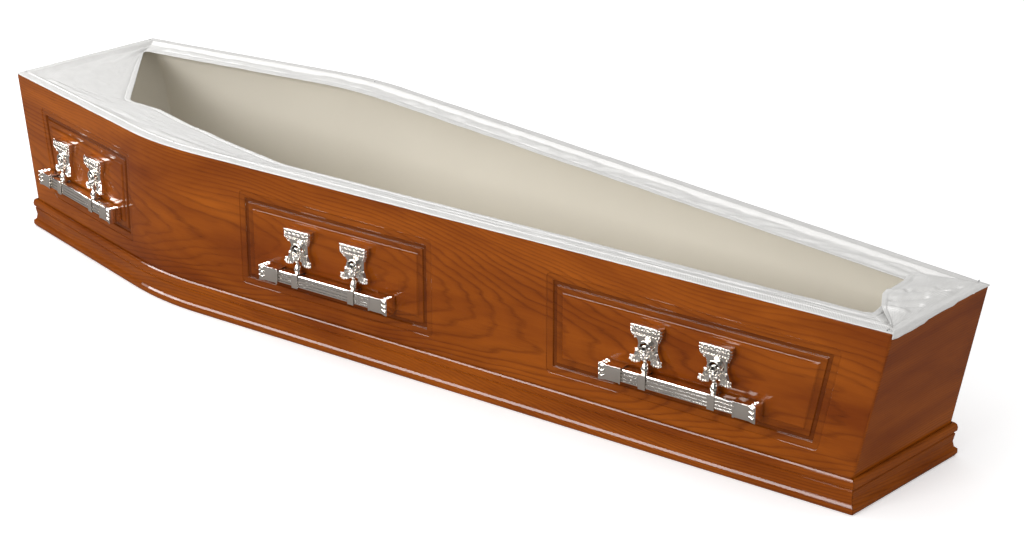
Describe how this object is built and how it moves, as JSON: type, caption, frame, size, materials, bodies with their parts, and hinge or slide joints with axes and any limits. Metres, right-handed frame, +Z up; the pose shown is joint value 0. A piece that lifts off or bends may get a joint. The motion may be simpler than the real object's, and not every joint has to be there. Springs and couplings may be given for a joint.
{
  "type": "coffin",
  "caption": "Open wooden coffin, widest at the shoulders, with moulded side panels, a plinth, swing-bar handles along both sides and a cloth lining gathered over the rim.",
  "frame": {"origin": "centre of the footprint, on the floor", "axes": "+X along the coffin from head to foot, +Z up"},
  "size_m": [1.95, 0.5368, 0.2965],
  "materials": {
    "wood": "gloss lacquer over red-brown stained veneer",
    "nickel": "polished nickel plate",
    "satin": "white ribbed satin",
    "cream_cloth": "matt cream cloth"
  },
  "bodies": {
    "box": {"base_board": "wood", "side_board_near": "wood", "side_board_far": "wood", "end_board_head": "wood", "end_board_foot": "wood", "plinth_near": "wood", "plinth_far": "wood", "plinth_head": "wood", "plinth_foot": "wood", "rim_frill": "satin", "side_lining": "cream_cloth", "floor_lining": "cream_cloth", "handle_plate_near_head_1": "nickel", "handle_plate_near_head_2": "nickel", "handle_plate_near_middle_1": "nickel", "handle_plate_near_middle_2": "nickel", "handle_plate_near_foot_1": "nickel", "handle_plate_near_foot_2": "nickel", "handle_plate_far_head_1": "nickel", "handle_plate_far_head_2": "nickel", "handle_plate_far_middle_1": "nickel", "handle_plate_far_middle_2": "nickel", "handle_plate_far_foot_1": "nickel", "handle_plate_far_foot_2": "nickel"},
    "handle_near_head": {"bar_near_head": "nickel", "bar_cap_near_head_1": "nickel", "bar_cap_near_head_2": "nickel", "arm_near_head_1": "nickel", "arm_near_head_2": "nickel"},
    "handle_near_middle": {"bar_near_middle": "nickel", "bar_cap_near_middle_1": "nickel", "bar_cap_near_middle_2": "nickel", "arm_near_middle_1": "nickel", "arm_near_middle_2": "nickel"},
    "handle_near_foot": {"bar_near_foot": "nickel", "bar_cap_near_foot_1": "nickel", "bar_cap_near_foot_2": "nickel", "arm_near_foot_1": "nickel", "arm_near_foot_2": "nickel"},
    "handle_far_head": {"bar_far_head": "nickel", "bar_cap_far_head_1": "nickel", "bar_cap_far_head_2": "nickel", "arm_far_head_1": "nickel", "arm_far_head_2": "nickel"},
    "handle_far_middle": {"bar_far_middle": "nickel", "bar_cap_far_middle_1": "nickel", "bar_cap_far_middle_2": "nickel", "arm_far_middle_1": "nickel", "arm_far_middle_2": "nickel"},
    "handle_far_foot": {"bar_far_foot": "nickel", "bar_cap_far_foot_1": "nickel", "bar_cap_far_foot_2": "nickel", "arm_far_foot_1": "nickel", "arm_far_foot_2": "nickel"}
  },
  "joints": [
    {"name": "swing_near_head", "type": "hinge", "parent": "box", "child": "handle_near_head", "pos_m": [-0.72565, -0.22575, 0.1745], "axis": [-0.9823, 0.1876, 0], "range_deg": [0, 85]},
    {"name": "swing_near_middle", "type": "hinge", "parent": "box", "child": "handle_near_middle", "pos_m": [-0.05284, -0.23978, 0.1745], "axis": [-0.9952, -0.0976, 0], "range_deg": [0, 85]},
    {"name": "swing_near_foot", "type": "hinge", "parent": "box", "child": "handle_near_foot", "pos_m": [0.63877, -0.17194, 0.1745], "axis": [-0.9952, -0.0976, 0], "range_deg": [0, 85]},
    {"name": "swing_far_head", "type": "hinge", "parent": "box", "child": "handle_far_head", "pos_m": [-0.72565, 0.22575, 0.1745], "axis": [0.9823, 0.1876, 0], "range_deg": [0, 85]},
    {"name": "swing_far_middle", "type": "hinge", "parent": "box", "child": "handle_far_middle", "pos_m": [-0.05284, 0.23978, 0.1745], "axis": [0.9952, -0.0976, 0], "range_deg": [0, 85]},
    {"name": "swing_far_foot", "type": "hinge", "parent": "box", "child": "handle_far_foot", "pos_m": [0.63877, 0.17194, 0.1745], "axis": [0.9952, -0.0976, 0], "range_deg": [0, 85]}
  ]
}
